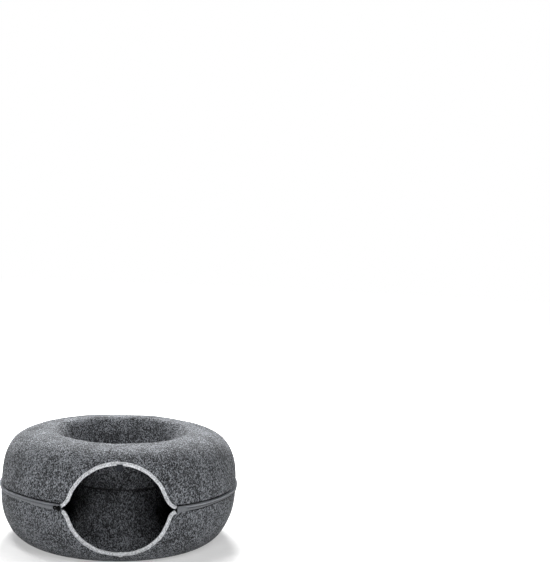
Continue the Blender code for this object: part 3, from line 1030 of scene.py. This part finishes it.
def binding_stitches(half, shifted):
    """A row of short threads along the strip, each dipping into it at both its ends."""
    steps, sides = 6, 6
    length = np.linalg.norm(np.diff(edge_frames(half, 600)[0], axis=0), axis=1).sum()
    count = int(length / STITCH_PITCH)
    place, across = edge_frames(half, count * STITCH_SAMPLES)
    per_step = STITCH_LENGTH / STITCH_PITCH * STITCH_SAMPLES / (steps - 1)
    rise = np.sin(np.linspace(0, pi, steps)) ** 0.6
    thick = (THREAD_ENDS + THREAD_FULLER * rise)[:, None]
    angle = np.linspace(0, 2 * pi, sides, endpoint=False)[None, :]
    threads = []
    for stitch in range(1, count - 1):
        index = (stitch * STITCH_SAMPLES + np.arange(steps) * per_step).astype(int)
        sideways, lift = join_shift(place[index, 0])[:2] if shifted else (0.0, 0.0)
        distance = STITCH_DISTANCE + np.zeros(steps) + sideways
        height = GAP + BINDING_PLY - THREAD_SUNK + THREAD_ARCH * rise + lift
        threads.append(swept(over_felt(
            place[index][:, None, :], across[index][:, None, :],
            distance[:, None] + thick * np.cos(angle), height[:, None] + thick * np.sin(angle),
        )))
    return joined(threads)


def make_binding(name, half, pale, thread, node, joins_below=False):
    """The folded strip round one half of the mouth, with its row of stitches."""
    place, across = edge_frames(half, BINDING_COUNT)
    section = binding_section()
    run = np.linspace(0.0, 1.0, BINDING_COUNT)
    wander = sum(depth * np.sin(2 * pi * turns * run + phase) for depth, turns, phase in WANDERS)
    puckered = np.abs(section[:, 0] - PUCKER_DISTANCE) < PUCKER_HALF
    pucker = (PUCKER_DEPTH * np.sin(2 * pi * PUCKERS * run))[:, None] * puckered
    distance = section[:, 0] + wander[:, None]
    height = section[:, 1] + pucker
    if joins_below:
        sideways, lift, rise = join_shift(place[:, 0])
        wider = np.clip(section[:, 0] / BINDING_WIDTH, 0.0, 1.0)
        distance = distance + sideways[:, None] * wider - rise[:, None] * (1.0 - wider)
        height = height + lift[:, None] * (section[:, 1] > -FELT_PLY / 2)
    strip = swept(over_felt(place[:, None, :], across[:, None, :], distance, height))
    strip = new_piece(name, strip, pale, [node], sharp=50)
    rows = binding_stitches(half, joins_below)
    rows = new_piece(f"{name}_thread", rows, thread)


# ---- the column's seam, the tag

# The seam's band: how far its faces lie within the CAD tape's outer radius, and its shape.
SEAM_INSETS = (0.0028, 0.0004)
SEAM_SWELL = 0.0003
SEAM_PUCKERS = 60
SEAM_GROOVE = 0.0004
SEAM_EDGES = 0.0005
SEAM_BACK_EASE = 0.0004

# The tag: how far it reaches over the mouth's edge and below it, and how it sways and bows.
TAG_WIDTH = 0.0118
TAG_THICKNESS = 0.0004
TAG_ABOVE = 0.0006
TAG_BELOW = 0.0120
TAG_ASIDE = 0.0016
TAG_HANG_OUT = 0.0006
TAG_SWAY = 0.0011
TAG_FRAY = 0.00012
TAG_BOW = ((-1, 0), (-0.5, 0.00025), (0, 0.0004), (0.5, 0.00025), (1, 0))


def make_seam(cloth):
    """The tape that joins the halves on the column: a narrow band, puckered by its stitches."""
    cad_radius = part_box("column_seam_tape")[1].x
    near, far = (cad_radius - inset for inset in SEAM_INSETS)
    middle = (COLUMN_LOWER_Z + COLUMN_UPPER_Z) / 2
    half = (COLUMN_UPPER_Z - COLUMN_LOWER_Z) / 2 - GAP
    azimuth = np.linspace(0, 2 * pi, 300, endpoint=False)
    crown = far + SEAM_SWELL * np.sin(azimuth * SEAM_PUCKERS)
    loop = [
        (near + SEAM_BACK_EASE, -half), (far - SEAM_EDGES, -half), (crown, -half * 0.5),
        (crown - SEAM_GROOVE, 0.0), (crown, half * 0.5),
        (far - SEAM_EDGES, half), (near + SEAM_BACK_EASE, half), (near, 0.0),
    ]
    columns = [at(azimuth, radius, np.full_like(azimuth, middle + up)) for radius, up in loop]
    tape = swept(np.stack(columns, axis=1), closed=True)
    tape = new_piece("column_seam", tape, cloth, ["column_seam_tape"])


def make_tag(cloth):
    """A blank ribbon tag: it lies on the binding's front, then hangs free in the mouth."""
    low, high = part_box("mouth_tag")
    centre_x = (low.x + high.x) / 2 + TAG_ASIDE
    edge_z = MOUTH_UPPER["corner_z"] + MOUTH_UPPER["rise"]
    proud = 2 * GAP + BINDING_PLY
    path = []
    for share in np.linspace(1.0, 0.0, 5):
        z = edge_z + TAG_ABOVE * share
        out = wall_out(np.array(z))
        lift = proud + unevenness(np.array(0.0), np.array(z))
        path.append((float(wall_radius(z) + out[0] * lift), float(z + out[1] * lift)))
    front, top = path[-1]
    for share in np.linspace(0.1, 1.0, 10):
        sway = TAG_SWAY * sin(pi * share) - TAG_HANG_OUT * share
        out = front + TAG_HANG_OUT * min(1, share * 4) + sway
        path.append((out, top - TAG_BELOW * share))
    sections = []
    for row, (radius, z) in enumerate(path):
        half = TAG_WIDTH / 2 + TAG_FRAY * sin(row * 2.4)
        sections.append([
            (centre_x + side * half, AXIS_Y - radius - bow - thickness, z)
            for thickness, face in ((TAG_THICKNESS, TAG_BOW), (0.0, TAG_BOW[::-1]))
            for side, bow in face
        ])
    tag = swept(np.array(sections))
    tag = new_piece("blank_tag", tag, cloth, ["mouth_tag"], sharp=45)


# ---- stage, light, camera

# The photo's own view, as closely as it could be matched.
CAMERA_PLACE = (0.0, -2.3884 + AXIS_Y, 0.7022)
CAMERA_YAW = radians(7.506)
CAMERA_PITCH = radians(-3.505)
CAMERA_ROLL = radians(2.458)
CAMERA_LENS = 72.085


def make_camera():
    data = bpy.data.cameras.new("camera")
    data.sensor_width = 36.0
    data.lens = CAMERA_LENS
    camera = new_object("camera", data)
    turned = Matrix.Rotation(-CAMERA_YAW, 4, "Z")
    tilted = Matrix.Rotation(pi / 2 + CAMERA_PITCH, 4, "X")
    rolled = Matrix.Rotation(CAMERA_ROLL, 4, "Z")
    camera.matrix_world = Matrix.Translation(CAMERA_PLACE) @ turned @ tilted @ rolled
    bpy.context.scene.camera = camera


STAGE_RADIUS = 8.0
# The floor is a lit white sweep: it glows a little under the bed and fully further out.
FLOOR_GREYS = ((0.3, 0.49), (0.7, 0.52))
BED_SHADE_RADIUS = 0.25
WHITE_FLOOR_RADIUS = 0.50
NEAR_FLOOR_GLOW = 0.42
BACKDROP_GLOW = 1.0


def make_stage():
    """The floor, and a white backdrop all round."""
    bpy.ops.mesh.primitive_circle_add(vertices=96, radius=STAGE_RADIUS, fill_type="NGON")
    floor = bpy.context.object
    floor.name = "floor"
    nodes = Nodes("pale_floor")
    plain = nodes.place()
    colour = nodes.ramp(nodes.noise(plain, scale=40.0), FLOOR_GREYS)
    share = nodes.math("SUBTRACT", nodes.vector("LENGTH", plain), BED_SHADE_RADIUS)
    share = nodes.math("DIVIDE", share, WHITE_FLOOR_RADIUS - BED_SHADE_RADIUS, clamp=True)
    nodes.put(nodes.shader.inputs["Base Color"], colour)
    nodes.put(nodes.shader.inputs["Emission Color"], (1.0, 1.0, 1.0, 1.0))
    glow = nodes.math("MULTIPLY_ADD", share, 1.0 - NEAR_FLOOR_GLOW, NEAR_FLOOR_GLOW)
    nodes.put(nodes.shader.inputs["Emission Strength"], glow)
    nodes.shader.inputs["Roughness"].default_value = 0.9
    nodes.shader.inputs["Specular IOR Level"].default_value = 0.1
    floor.data.materials.append(nodes.material)

    bpy.ops.mesh.primitive_uv_sphere_add(segments=48, ring_count=24, radius=STAGE_RADIUS)
    dome = bpy.context.object
    dome.name = "backdrop"
    glow = bpy.data.materials.new("white_backdrop")
    glow.use_nodes = True
    glow.node_tree.nodes.clear()
    light = glow.node_tree.nodes.new("ShaderNodeEmission")
    light.inputs["Strength"].default_value = BACKDROP_GLOW
    output = glow.node_tree.nodes.new("ShaderNodeOutputMaterial")
    glow.node_tree.links.new(light.outputs["Emission"], output.inputs["Surface"])
    dome.data.materials.append(glow)
    # Only the camera sees it, so that it doesn't light the bed.
    for kind in ("diffuse", "glossy", "transmission", "shadow"):
        setattr(dome, f"visible_{kind}", False)


# Soft boxes: where each stands, its size and its power. All face the bed.
LIGHTS = {
    "back": ((0.0, 2.2, 2.0), 1.2, 205.0),
    "back_high": ((0.0, 1.4, 2.6), 1.2, 52.0),
    "back_left": ((-1.3, 1.2, 2.4), 0.8, 18.0),
    "top_left": ((-0.9, -0.5, 2.8), 0.8, 34.0),
    "front": ((0.0, -2.457, 1.831), 0.5, 17.5),
    "front_high": ((0.0, -1.9, 2.5), 0.5, 3.0),
    "front_right": ((0.84, -2.309, 1.831), 0.5, 22.0),
}


def make_lights():
    """The soft boxes. They and the floor's glow are all the light: the world gives none."""
    world = bpy.data.worlds.new("studio")
    bpy.context.scene.world = world
    world.use_nodes = True
    world.node_tree.nodes["Background"].inputs["Strength"].default_value = 0.0
    for name, (place, size, power) in LIGHTS.items():
        data = bpy.data.lights.new(name, "AREA")
        data.shape = "DISK"
        data.size = size
        data.energy = power
        lamp = new_object(name, data)
        lamp.location = place
        towards = Vector((0.0, AXIS_Y, HEIGHT / 2)) - Vector(place)
        lamp.rotation_euler = towards.to_track_quat("-Z", "Y").to_euler()
    bpy.context.scene.view_settings.view_transform = "Standard"


# ---- the whole bed


def make_bed():
    felt = felt_material("grey_felt", grey(0.0025), grey(0.032), grey(0.245))
    pale = [grey(value, BINDING_TINT) for value in (0.24, 0.48, 0.70)]
    pale = felt_material("binding_felt", *pale, contrast=0.9)
    # The upper lip's tape is a lighter copy of the zip tape: a painted highlight along its rolled
    # top edge.
    lip = tape_material("zip_lip_painted_highlight", grey(0.06), grey(0.30), paint_flange_shade=True)
    thread = tape_material("grey_thread", grey(0.07), grey(0.16))
    tape = tape_material("zip_tape", grey(0.034), grey(0.19), paint_flange_shade=True)
    seam = tape_material("seam_tape", grey(0.001), grey(0.003))
    black = metal_material("black_metal")
    label = tape_material("tag_cloth", (0.0010, 0.0022, 0.0055), (0.003, 0.005, 0.010))
    make_felt(felt)
    make_zip(tape, lip, black)
    make_slider(black, tape)
    make_binding("binding_upper", MOUTH_UPPER, pale, thread, "mouth_binding_upper")
    make_binding("binding_lower", MOUTH_LOWER, pale, thread, "mouth_binding_lower", True)
    make_seam(seam)
    make_tag(label)


make_bed()
make_stage()
make_lights()
make_camera()
